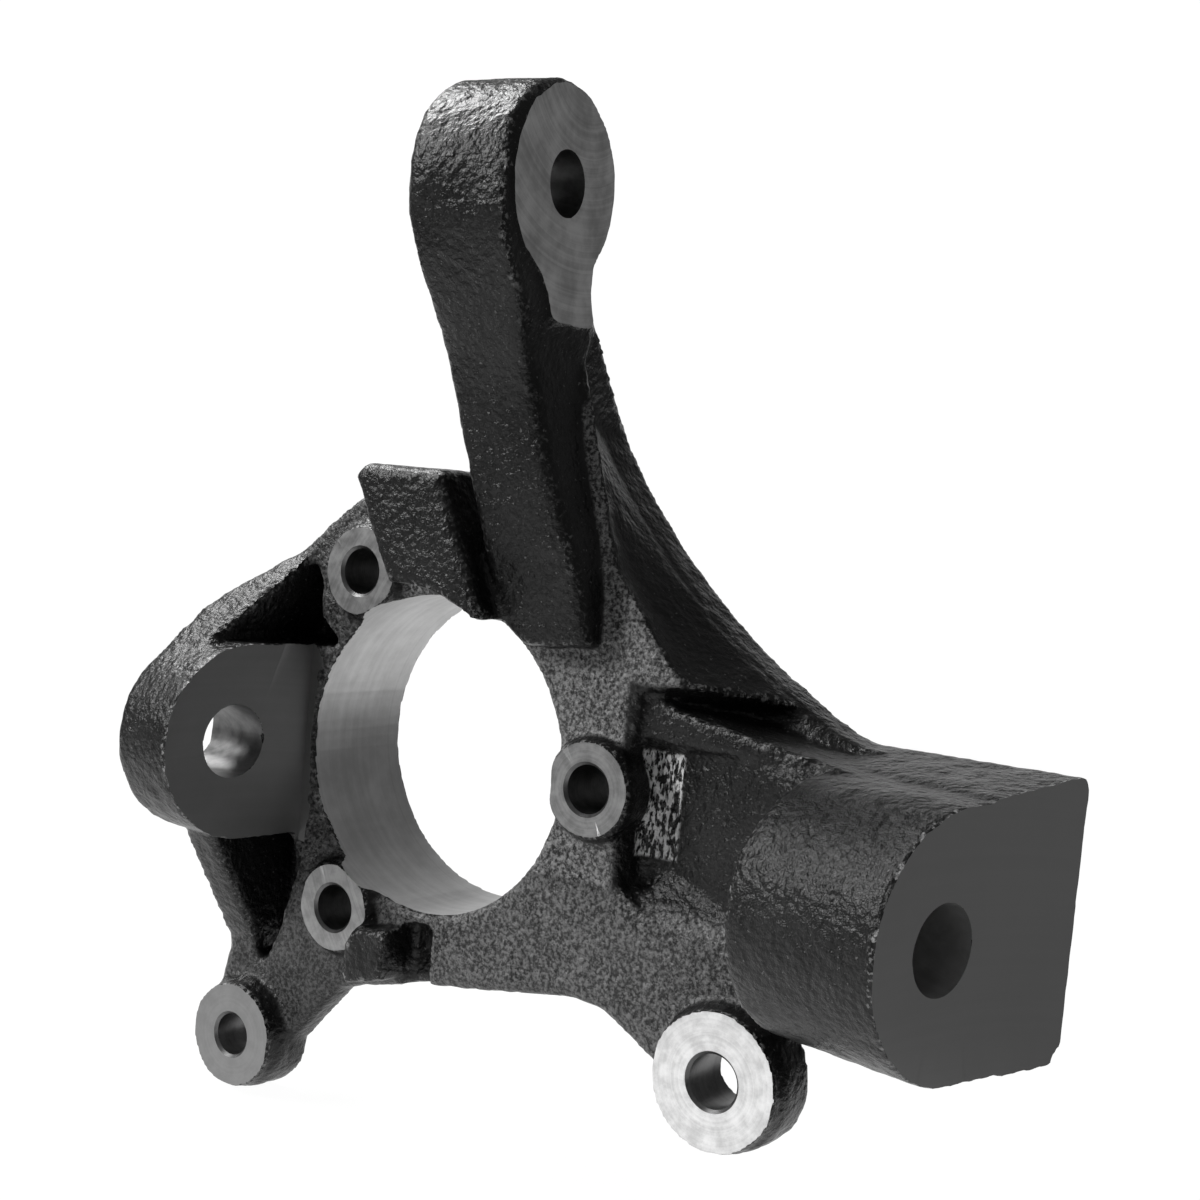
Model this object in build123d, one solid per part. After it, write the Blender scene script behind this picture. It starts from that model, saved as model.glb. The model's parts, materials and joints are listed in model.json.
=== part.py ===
"""Steering knuckle: one iron casting with machined bores and faces.

Frame, in millimetres: the origin is on the hub bore's axis, in the plane of
the three hub bolt faces. The hub axis is Y and the wheel side is -Y. X runs
along the cross bores of the upper arm, the lower block and the side lug.
+Z is up.
"""
import math
import os

from build123d import *

# Hub: main bore and its three bolts
HUB_BORE_R = 43.0
HUB_WALL = 15.0
HUB_BOLT_INSET = 11.0
HUB_BOLT_COUNT = 3
HUB_BOLT_HOLE_R = 6.25
HUB_BOLT_FACE_R = 11.7
HUB_BOSS_R = 12.9
HUB_BOSS_STEP = 1.4

# Levels along Y
PLATE_FRONT = 4.0
PLATE_BACK = 13.0
FLANGE_FRONT = 28.0
BACK = 41.0
POCKET_FLOOR = 18.0
WEB_THICK = 6.0

# Caliper ears: centre, face radius, hole radius
EAR_FACE = -2.7
EAR_BOSS_GROWTH = 1.0
EAR_BOSS_STEP = 4.5
FRONT_EAR_X = 99.4
FRONT_EAR_Z = -62.5
FRONT_EAR_R = 16.9
FRONT_EAR_HOLE_R = 6.65
REAR_EAR_X = -59.7
REAR_EAR_Z = -90.3
REAR_EAR_R = 14.6
REAR_EAR_HOLE_R = 5.9
EAR_HOLE_CHAMFER = 0.8

# Upper arm and its cross bore
ARM_FACE_AZ = 5.0
ARM_HEIGHT = 147.4
ARM_FACE_X = 41.3
ARM_BORE_Y = -12.9
ARM_BORE_R = 8.1
ARM_BOSS_R = 24.0
ARM_BOSS_Y = -15.0
ARM_WIDTH = 28.5
ARM_PAD_R = 22.8
ARM_PAD_PROUD = 1.0

# Lower block and its cross bore, which is blind
BLOCK_FACE_AZ = -12.0
BLOCK_REACH = 156.5
BLOCK_BORE_Y = -9.0
BLOCK_BORE_Z = -17.0
BLOCK_BORE_R = 10.5
BLOCK_BORE_DEPTH = 36.0
BLOCK_ARC_R = 31.0
BLOCK_ARC_Y = -2.0
BLOCK_TOP = 17.5
BLOCK_BOTTOM = -51.0
BLOCK_LENGTH = 42.0

# Side lug and its cross bore
LUG_FACE_AZ = -6.0
LUG_REACH = 48.5
LUG_BORE_Y = -21.3
LUG_BORE_Z = -2.2
LUG_BORE_R = 10.1
LUG_END_R = 26.7
LUG_END_Y = -17.0
LUG_MIDDLE_Z = -2.5
LUG_THICK = 22.0

# Block forward of the bore that carries the sensor, and the slot below it
SENSOR_EAR_FRONT = -14.0
SENSOR_EAR_TOP = 76.0
SENSOR_EAR_ARC_R = 46.4
SLOT_LEFT = -4.4
SLOT_RIGHT = 5.5
SLOT_BACK = 9.0

# Radii of the cast edges
CAST_EDGE_R = 2.5
RIB_EDGE_R = 3.0
BOSS_EDGE_R = 4.0

# Longer than the part on every side, for bodies that only trim another
BEYOND = 400.0

HUB_BARREL_R = HUB_BORE_R + HUB_WALL
HUB_BORE = (0.0, 0.0)
FRONT_EAR = (FRONT_EAR_X, FRONT_EAR_Z)
REAR_EAR = (REAR_EAR_X, REAR_EAR_Z)
ARM_BORE = (ARM_FACE_X, ARM_BORE_Y, ARM_HEIGHT)
BLOCK_BORE = (BLOCK_REACH, BLOCK_BORE_Y, BLOCK_BORE_Z)
LUG_BORE = (-LUG_REACH, LUG_BORE_Y, LUG_BORE_Z)


def moved(points, centre):
    """Points given from a centre, as points of the frame."""
    return [(centre[0] + across, centre[1] + up) for across, up in points]


def raised(points):
    """Arm outline points whose heights are given as shares of the arm's height."""
    return [(across, share * ARM_HEIGHT) for across, share in points]


def slab(outline, front, back):
    """Prism between two Y levels, drawn as a closed (x, z) outline."""
    sketch = Plane.XZ.offset(-back) * make_face(Polyline(*outline, close=True))
    return extrude(sketch, amount=back - front)


def curved_slab(curve, tail, front, back):
    """Prism whose outline is a smooth curve closed by straight tail points."""
    sketch = make_face([Spline(*curve), Polyline(curve[-1], *tail, curve[0])])
    return extrude(Plane.XZ.offset(-back) * sketch, amount=back - front)


def post(centre, radius, front, back):
    """Round post along Y."""
    return extrude(Plane.XZ.offset(-back) * Pos(*centre) * Circle(radius), amount=back - front)


def ear_hole(centre, radius):
    """Cutter of an ear's hole, with a chamfer at its machined face."""
    mouth = Plane.XZ.offset(-EAR_FACE) * Pos(*centre) * Circle(radius + EAR_HOLE_CHAMFER)
    return post(centre, radius, EAR_FACE - 1, BACK + 1) + extrude(mouth, amount=-EAR_HOLE_CHAMFER, taper=45)


def cross_plane(point, azimuth):
    """Plane of a cross face: local x runs along +Y, local y along +Z."""
    turn = math.radians(azimuth)
    return Plane(
        origin=point,
        x_dir=(-math.sin(turn), math.cos(turn), 0),
        z_dir=(math.cos(turn), math.sin(turn), 0),
    )


def crossed(front_outline, side_outline):
    """Solid that fills both its (x, z) front outline and its (y, z) side outline."""
    front = extrude(Plane.XZ * make_face(front_outline), amount=BEYOND, both=True)
    return front & extrude(Plane.YZ * make_face(side_outline), amount=BEYOND, both=True)


def front_edges(body, level, lowest=-BEYOND, highest=BEYOND):
    """Edges that lie in a Y level, between two heights."""
    edges = body.edges().filter_by_position(Axis.Y, level - 0.01, level + 0.01)
    return [edge for edge in edges if lowest < edge.center().Z < highest]


def hub_bolt_centres():
    """Centres (x, z) of the hub bolts."""
    step = 2 * math.pi / HUB_BOLT_COUNT
    radius = HUB_BORE_R + HUB_BOLT_INSET
    return [(radius * math.cos(i * step), radius * math.sin(i * step)) for i in range(HUB_BOLT_COUNT)]


def hub():
    """Barrel round the bore and the plate down to the two ears."""
    pocket_side = [(-42, -30), (-47.3, -46.4), (-50.1, -57.2), (-55.7, -68.7), (-69.4, -64)]
    rear = moved([(-13, 11), (-14.3, 6.3), (1.7, -13.7), (14.7, -0.7)], REAR_EAR)
    front = moved([(-21.7, -1.5), (-7.4, -17.5), (16.6, -3.5), (12.6, 22.5)], FRONT_EAR)
    bottom = [(-27, -70.5), (-19, -67.5), (3, -62.4), (52, -54.4), (61.6, -55.2)]
    neck_side = [(97, -32), (74, -31), (63.7, -24), (61.3, -19), (63.2, 25), (30, 30), (0, -30)]
    plate = slab([*pocket_side, *rear, *bottom, *front, *neck_side], PLATE_FRONT, PLATE_BACK)
    plate = fillet(front_edges(plate, PLATE_FRONT, highest=-52), CAST_EDGE_R)
    web_back = POCKET_FLOOR + WEB_THICK
    shoulder_outline = [(-64, 20), (-52.3, 50.3), (-42.5, 59), (-31.9, 66.9), (-10, 66.9), (-10, 20)]
    shoulder = slab(shoulder_outline, PLATE_FRONT, web_back)
    pocket_outline = [(-48.5, 50), (-44, 41.5), (-44.5, 33), (-37, 27), (-36, 24.5), (-80, 24.5), (-80, 50)]
    pocket = slab(pocket_outline, 0, POCKET_FLOOR)
    lower_web = slab([(-62, -15), (-62, -66), (-40, -66), (-30, -15)], POCKET_FLOOR, web_back)
    pad_outline = [(-18.6, -50.5), (SLOT_LEFT, -48), (SLOT_LEFT, -61.5), (-18, -65.2)]
    bolt_pad = slab(pad_outline, -PLATE_FRONT, PLATE_BACK)
    bolt_pad = fillet(front_edges(bolt_pad, -PLATE_FRONT), 1)
    body = post(HUB_BORE, HUB_BARREL_R, PLATE_FRONT, BACK) + plate + shoulder + lower_web
    return body - pocket + bolt_pad


def hub_bolt_bosses():
    """Low round bosses that carry the three bolt faces."""
    bosses = Part()
    for centre in hub_bolt_centres():
        bosses += post(centre, HUB_BOLT_FACE_R, 0, FLANGE_FRONT)
        bosses += post(centre, HUB_BOSS_R, HUB_BOSS_STEP, FLANGE_FRONT)
    return bosses


def upper_web():
    """Thick web between arm and block: front pad, sloped wall, back flange."""
    front_curve = [(36.2, 104.2), (39.5, 90), (43.5, 74), (50.5, 54), (62, 40), (76.5, 29.4)]
    block_end = BLOCK_REACH - BLOCK_LENGTH + 5
    back_curve = [(23.5, 101), (29, 90), (41.5, 72), (57.5, 54.8)]
    back_curve += [(block_end - 43, 38.5), (block_end - 23.5, 26)]
    front_tail = [(63.5, 26.5), (61, 10), (20, 30), (15, 80)]
    back_tail = [(85, 22), (70, 5), (20, 30), (10, 80)]
    levels = ((FLANGE_FRONT, back_curve, back_tail), (PLATE_FRONT, front_curve, front_tail))
    sections = [
        Plane.XZ.offset(-level) * make_face([Spline(*curve), Polyline(curve[-1], *tail, curve[0])])
        for level, curve, tail in levels
    ]
    flange_curve = [(16, 118), *back_curve, (block_end - 11.5, BLOCK_TOP + 2.2), (block_end, BLOCK_TOP)]
    flange = curved_slab(flange_curve, [(block_end, -20), (20, 20), (4, 80)], FLANGE_FRONT, BACK)
    rim = [edge for edge in front_edges(flange, FLANGE_FRONT) if edge.geom_type == GeomType.BSPLINE]
    return loft(sections, ruled=True) + fillet(rim, CAST_EDGE_R)


def arm():
    """Upper arm: a front rib that sweeps back to the plate, and a rear spine."""
    top = (0, ARM_HEIGHT)
    right = moved([(46, 12.6), (46, -7.4), (44, -22.4), (38.6, -39.4)], top)
    right += raised([(39.2, 0.645), (42.5, 0.543), (47.6, 0.434), (51, 0.339), (52, 0.244)])
    left = raised([(33, 0.231), (26, 0.271), (20.5, 0.407), (16.5, 0.529), (12.9, 0.645)])
    left += moved([(12.8, -27.4), (12.8, -7.4), (12.8, 12.6)], top)
    face = moved([(-38.9, 0), (-38.9, -9.4), (-35, -19.4), (-28, -30.4), (-17.5, -47.4)], top)
    face += raised([(-13, 0.556), (-10, 0.434), (-6, 0.326), (-4, 0.224)])
    rear = raised([(8, 0.224), (8, 0.543)])
    rear += moved([(6, -43.4), (5, -31.4), (3.4, -20.4), (6, -10.4), (9, 0)], top)
    rib = crossed(
        [Spline(*right), Line(right[-1], left[0]), Spline(*left), Line(left[-1], right[0])],
        [Spline(*face), Line(face[-1], rear[0]), Spline(*rear), Line(rear[-1], face[0])],
    )
    rib = fillet([edge for edge in rib.edges() if edge.length > 60 and edge.center().Y < -8], RIB_EDGE_R)
    outer = moved([(40, -19.4), (40, -26.4), (37, -36.4), (33.5, -45.4)], top)
    outer += raised([(29, 0.611), (41.5, 0.488)])
    outer_tail = [*raised([(20, 0.488), (12.8, 0.678)]), (12.8, outer[0][1])]
    sweep = moved([(3.4, -20.4), (5.5, -28.4), (14, -36.4), (24, -44.4), (34, -52.4), (BACK, -60.4)], top)
    sweep_tail = [*raised([(BACK, 0.488), (0, 0.488)]), (-20, sweep[0][1])]
    spine = crossed(
        [Spline(*outer), Polyline(outer[-1], *outer_tail, outer[0])],
        [Spline(*sweep), Polyline(sweep[-1], *sweep_tail, sweep[0])],
    )
    cast_face = cross_plane(ARM_BORE, ARM_FACE_AZ).offset(-ARM_PAD_PROUD)
    boss = extrude(cast_face * Pos(ARM_BOSS_Y - ARM_BORE_Y, 0) * Circle(ARM_BOSS_R), amount=-ARM_WIDTH)
    boss = fillet(boss.edges().sort_by(Axis.X)[0], BOSS_EDGE_R)
    outside = cast_face * Pos(0, ARM_BOSS_R) * Rectangle(4 * ARM_BOSS_R, 5 * ARM_BOSS_R)
    spare = extrude(outside, amount=ARM_BOSS_R)
    return (rib + spine - spare) + boss


def arm_pad():
    """Machined face of the upper arm: a disc with a narrow tongue below."""
    tongue = [(-20.5, -10), (-15.5, -16.5), (-7.7, -22), (-3.2, -26.5), (-1.1, -32.8), (17.5, -31.6)]
    tongue += [(15.2, -25), (14.8, -18), (19, -12.5), (15, 0), (-15, 0)]
    sketch = Circle(ARM_PAD_R) + make_face(Polyline(*tongue, close=True))
    return extrude(cross_plane(ARM_BORE, ARM_FACE_AZ) * sketch, amount=-8)


def sensor_ear():
    """Forward block between the first hub bolt and the arm, above the bore."""
    outline = [(-19.5, 73), (-16.5, SENSOR_EAR_TOP), (9.7, SENSOR_EAR_TOP), (14, 66), (25.5, 42), (24, 20)]
    outline += [(-3, 20), (-4.2, 44), (-12.1, 58.8), (-17, 68)]
    body = slab(outline, SENSOR_EAR_FRONT, BACK - 10)
    body = fillet(front_edges(body, SENSOR_EAR_FRONT, lowest=48), CAST_EDGE_R)
    return body - post(HUB_BORE, SENSOR_EAR_ARC_R, SENSOR_EAR_FRONT - 1, PLATE_FRONT)


def block():
    """Lower block: D shaped boss on a neck that is cored from the front."""
    plane = cross_plane(BLOCK_BORE, BLOCK_FACE_AZ)
    centre_y = BLOCK_ARC_Y - BLOCK_BORE_Y
    far_y = BACK - BLOCK_BORE_Y + BLOCK_LENGTH
    top, bottom = BLOCK_TOP - BLOCK_BORE_Z, BLOCK_BOTTOM - BLOCK_BORE_Z
    flat = [(centre_y, BLOCK_ARC_R), (far_y, top), (far_y, bottom), (centre_y, -BLOCK_ARC_R)]
    sketch = Pos(centre_y, 0) * Circle(BLOCK_ARC_R) + make_face(Polyline(*flat, close=True))
    boss = extrude(plane * sketch, amount=-BLOCK_LENGTH)
    boss = split(boss, bisect_by=Plane.XZ.offset(-BACK), keep=Keep.TOP)
    root = BLOCK_REACH - BLOCK_LENGTH + 17.5
    neck_outline = [(50, 27), (62, 27), (75, 22), (root, 13), (root, -40), (100, -34), (75, -31), (50, -31)]
    neck = slab(neck_outline, PLATE_FRONT, BACK)
    recess = [(-5, 28), (7, 28), (7, 14.5), (12, 11.5), (12, -19), (3.9, -31), (-5, -31)]
    neck -= extrude(Plane.YZ.offset(64) * make_face(Polyline(*recess, close=True)), amount=BEYOND)
    left_wall = [(61.5, PLATE_FRONT - 1), (61.5, PLATE_FRONT), (66, 12), (70, 12), (70, PLATE_FRONT - 1)]
    neck -= extrude(Plane.XY.offset(-24) * make_face(Polyline(*left_wall, close=True)), amount=36)
    ramp = [(75, 14), (75, 12), (root - 18, PLATE_FRONT), (root - 12, PLATE_FRONT), (root - 12, 14)]
    neck += extrude(Plane.XY.offset(-27) * make_face(Polyline(*ramp, close=True)), amount=39)
    return neck + boss


def lug():
    """Side lug standing forward of the plate, with its two gussets."""
    end = Pos(LUG_END_Y - LUG_BORE_Y, LUG_MIDDLE_Z - LUG_BORE_Z)
    sketch = end * Circle(LUG_END_R) + end * Pos(25, 0) * Rectangle(50, 2 * LUG_END_R)
    body = extrude(cross_plane(LUG_BORE, LUG_FACE_AZ) * sketch, amount=-LUG_THICK)
    body = fillet(body.faces().sort_by(Axis.X)[0].edges(), CAST_EDGE_R)
    outer = -LUG_REACH - LUG_THICK + 0.5
    web_back = POCKET_FLOOR + WEB_THICK
    upper_front = [(outer, 0), (outer, 31), (-65.8, 37.4), (-59.3, 43.5), (-52.3, 50.3), (-46, 56)]
    upper_front += [(-48.1, 49.8), (-55.6, 29.3), (-58, 20), (-58, 0)]
    upper_side = [(-34, 0), (-34, 16), (PLATE_FRONT, 50), (PLATE_FRONT, 56), (web_back, 56), (web_back, 0)]
    lower_front = [(outer, 0), (outer, -66), (-59, -70), (-59, 0)]
    lower_side = [(-34, 0), (-30, -20), (-17, -30), (PLATE_FRONT, -63.7), (PLATE_FRONT, -80)]
    lower_side += [(PLATE_BACK, -80), (web_back, -66), (web_back, 0)]
    for front, side in ((upper_front, upper_side), (lower_front, lower_side)):
        body += crossed(Polyline(*front, close=True), Polyline(*side, close=True))
    return body


def ears():
    """Round bosses of the two caliper ears."""
    bosses = Part()
    for centre, radius in ((FRONT_EAR, FRONT_EAR_R), (REAR_EAR, REAR_EAR_R)):
        bosses += post(centre, radius, EAR_FACE, PLATE_BACK)
        bosses += post(centre, radius + EAR_BOSS_GROWTH, EAR_FACE + EAR_BOSS_STEP, PLATE_BACK)
    return bosses


def bores():
    """Cutters of every machined bore and hole."""
    cutters = post(HUB_BORE, HUB_BORE_R, -BEYOND, BACK + 1)
    for centre in hub_bolt_centres():
        cutters += post(centre, HUB_BOLT_HOLE_R, -1, BACK + 1)
    cutters += ear_hole(FRONT_EAR, FRONT_EAR_HOLE_R) + ear_hole(REAR_EAR, REAR_EAR_HOLE_R)
    for point, azimuth, radius, depth in (
        (ARM_BORE, ARM_FACE_AZ, ARM_BORE_R, 2 * ARM_WIDTH),
        (BLOCK_BORE, BLOCK_FACE_AZ, BLOCK_BORE_R, BLOCK_BORE_DEPTH),
        (LUG_BORE, LUG_FACE_AZ, LUG_BORE_R, 2 * LUG_THICK),
    ):
        cutters += extrude(cross_plane(point, azimuth) * Circle(radius), amount=-depth)
    return cutters


def sensor_slot():
    """Cutter of the slot in the plate's lower edge, below the hub bore."""
    bottom = -HUB_BARREL_R - 17
    outline = [(SLOT_LEFT, -46.5), (SLOT_RIGHT, -45.5), (SLOT_RIGHT, bottom), (SLOT_LEFT, bottom)]
    return slab(outline, -HUB_BORE_R, SLOT_BACK)


def steering_knuckle():
    """The whole casting."""
    body = hub() + upper_web() + arm() + arm_pad() + sensor_ear() + block() + lug()
    body += hub_bolt_bosses() + ears()
    return body - sensor_slot() - bores()


def main():
    os.makedirs("parts", exist_ok=True)
    part = steering_knuckle()
    part.label = "steering_knuckle"
    export_step(part, "parts/steering_knuckle.step")


if __name__ == "__main__":
    main()
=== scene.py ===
"""Dressed model of a cast steering knuckle.

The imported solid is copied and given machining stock, then rounded and
roughened like a sand casting. Its faces and bores are cut back to size last,
so that the cast skin is soft and the machined edges stay crisp.
"""
import json
import logging
import math
from dataclasses import dataclass
from enum import Enum

import bmesh
import bpy
from mathutils import Matrix, Vector

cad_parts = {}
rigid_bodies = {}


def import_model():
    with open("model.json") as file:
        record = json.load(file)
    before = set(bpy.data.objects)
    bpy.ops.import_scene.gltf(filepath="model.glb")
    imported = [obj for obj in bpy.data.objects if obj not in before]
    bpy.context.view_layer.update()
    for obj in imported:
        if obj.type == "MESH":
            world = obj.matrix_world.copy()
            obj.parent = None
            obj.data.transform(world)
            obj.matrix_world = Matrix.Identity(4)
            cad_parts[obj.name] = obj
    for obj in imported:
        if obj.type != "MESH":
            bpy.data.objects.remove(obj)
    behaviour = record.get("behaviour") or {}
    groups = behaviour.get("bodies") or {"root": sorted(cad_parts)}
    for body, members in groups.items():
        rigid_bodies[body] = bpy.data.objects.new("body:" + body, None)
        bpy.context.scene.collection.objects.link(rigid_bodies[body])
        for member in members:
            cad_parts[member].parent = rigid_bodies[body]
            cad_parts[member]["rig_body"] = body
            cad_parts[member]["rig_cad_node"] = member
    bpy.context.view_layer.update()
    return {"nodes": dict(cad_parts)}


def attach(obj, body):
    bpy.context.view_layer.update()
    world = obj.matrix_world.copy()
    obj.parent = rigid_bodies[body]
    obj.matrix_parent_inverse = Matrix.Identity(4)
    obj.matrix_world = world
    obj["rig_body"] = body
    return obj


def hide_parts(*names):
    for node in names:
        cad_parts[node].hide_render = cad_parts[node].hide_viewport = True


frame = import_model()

MM = 0.001
NODE = "steering_knuckle"
LOG = logging.getLogger("knuckle")
Point = tuple[float, float, float]
TOWARDS_WHEEL: Point = (0.0, -1.0, 0.0)
CUTTER_LEAD = 5.0
SPIN_MERGE = 0.01
PACKED_MERGE = 0.002
Socket = bpy.types.NodeSocket
MIX_COLOR_INPUTS = (0, 6, 7)
MIX_COLOR_RESULT = 2


class Surface(Enum):
    """Finishes of the casting, in the order of its material slots."""

    CAST = 0
    BOLT_FACE = 1
    EAR_FACE = 2
    ARM_FACE = 3
    BLOCK_FACE = 4
    LUG_FACE = 5
    HUB_WALL = 6
    DRILLED = 7
    REAR_EAR_FACE = 8


def cross_axis(azimuth: float) -> Point:
    """Direction that a cross face looks in.

    Args:
        azimuth: Turn of the face about the Z axis, in degrees.

    Returns:
        The unit normal.
    """
    turn = math.radians(azimuth)
    return (math.cos(turn), math.sin(turn), 0.0)


def select_only(piece: bpy.types.Object) -> None:
    """Select one object and make it active.

    Args:
        piece: The object.
    """
    bpy.ops.object.select_all(action="DESELECT")
    piece.select_set(True)
    bpy.context.view_layer.objects.active = piece


def apply_modifier(piece: bpy.types.Object, kind: str, **settings: object) -> None:
    """Add a modifier, set its fields and apply it.

    Args:
        piece: The piece.
        kind: Blender's name of the modifier type.
        **settings: Values of the modifier's fields.
    """
    select_only(piece)
    modifier = piece.modifiers.new(kind.lower(), kind)
    for key, value in settings.items():
        setattr(modifier, key, value)
    bpy.ops.object.modifier_apply(modifier=modifier.name)


@dataclass(frozen=True)
class Turned:
    """A cutter of revolution: it machines a bore, or faces a round boss.

    Lengths are in millimetres. The axis points out of the casting, and the
    profile gives radius and height above the mouth, from top to bottom.
    """

    mouth: Point
    axis: Point
    profile: tuple[tuple[float, float], ...]
    surface: Surface
    steps: int = 96

    def model(self) -> bpy.types.Object:
        """Spin the profile into a closed cutter.

        Returns:
            The cutter.
        """
        axis = Vector(self.axis).normalized()
        side = axis.orthogonal().normalized()
        origin = Vector(self.mouth) * MM
        mesh = bpy.data.meshes.new("cutter")
        points = [origin + (side * radius + axis * height) * MM for radius, height in self.profile]
        mesh.from_pydata(points, [(i, i + 1) for i in range(len(points) - 1)], [])
        cutter = bpy.data.objects.new("cutter", mesh)
        bpy.context.collection.objects.link(cutter)
        select_only(cutter)
        bpy.ops.object.mode_set(mode="EDIT")
        bpy.ops.mesh.select_all(action="SELECT")
        bpy.ops.mesh.spin(steps=self.steps, angle=2 * math.pi, center=origin, axis=axis)
        bpy.ops.mesh.select_all(action="SELECT")
        bpy.ops.mesh.remove_doubles(threshold=SPIN_MERGE * MM)
        bpy.ops.mesh.normals_make_consistent(inside=False)
        bpy.ops.object.mode_set(mode="OBJECT")
        return cutter


@dataclass(frozen=True)
class Milled:
    """A milling cut: a slab that stands on the outer side of a machined plane.

    Lengths are in millimetres. The slab's place along the plane is given by
    the ends of its width, along +Y, and of its height, along +Z.
    """

    point: Point
    azimuth: float
    across: tuple[float, float]
    up: tuple[float, float]
    surface: Surface
    thickness: float = 6.0

    def model(self) -> bpy.types.Object:
        """Place a slab on the plane.

        Returns:
            The cutter.
        """
        bpy.ops.mesh.primitive_cube_add(size=MM)
        slab = bpy.context.active_object
        turn = Matrix.Rotation(math.radians(self.azimuth), 4, "Z")
        size = (self.thickness, self.across[1] - self.across[0], self.up[1] - self.up[0])
        centre = Vector((self.thickness / 2, sum(self.across) / 2, sum(self.up) / 2)) * MM
        place = Matrix.Translation(Vector(self.point) * MM) @ turn @ Matrix.Translation(centre)
        slab.data.transform(place @ Matrix.Diagonal((*size, 1.0)))
        return slab


def faced(mouth: Point, radius: float, surface: Surface) -> Turned:
    """Cutter that faces a round boss.

    Args:
        mouth: Centre of the face.
        radius: Radius of the cutter.
        surface: Finish of the face.

    Returns:
        The cutter.
    """
    profile = ((0, CUTTER_LEAD), (radius, CUTTER_LEAD), (radius, 0), (0, 0))
    return Turned(mouth, TOWARDS_WHEEL, profile, surface)


def drilled(
    mouth: Point,
    axis: Point,
    radius: float,
    depth: float,
    chamfer: float = 0.0,
    surface: Surface = Surface.DRILLED,
    lead: float = CUTTER_LEAD,
) -> Turned:
    """Cutter of a bore.

    Args:
        mouth: Centre of the mouth.
        axis: Direction out of the mouth.
        radius: Radius of the bore.
        depth: Depth below the mouth.
        chamfer: Width of the chamfer at the mouth.
        surface: Finish of the wall.
        lead: Length that stands outside the mouth.

    Returns:
        The cutter.
    """
    profile = [(0, lead), (radius + chamfer, lead), (radius + chamfer, 0)]
    if chamfer:
        profile.append((radius, -chamfer))
    return Turned(mouth, axis, (*profile, (radius, -depth), (0, -depth)), surface)


@dataclass(frozen=True)
class Stock:
    """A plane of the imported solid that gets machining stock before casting."""

    point: Point
    axis: Point


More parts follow.
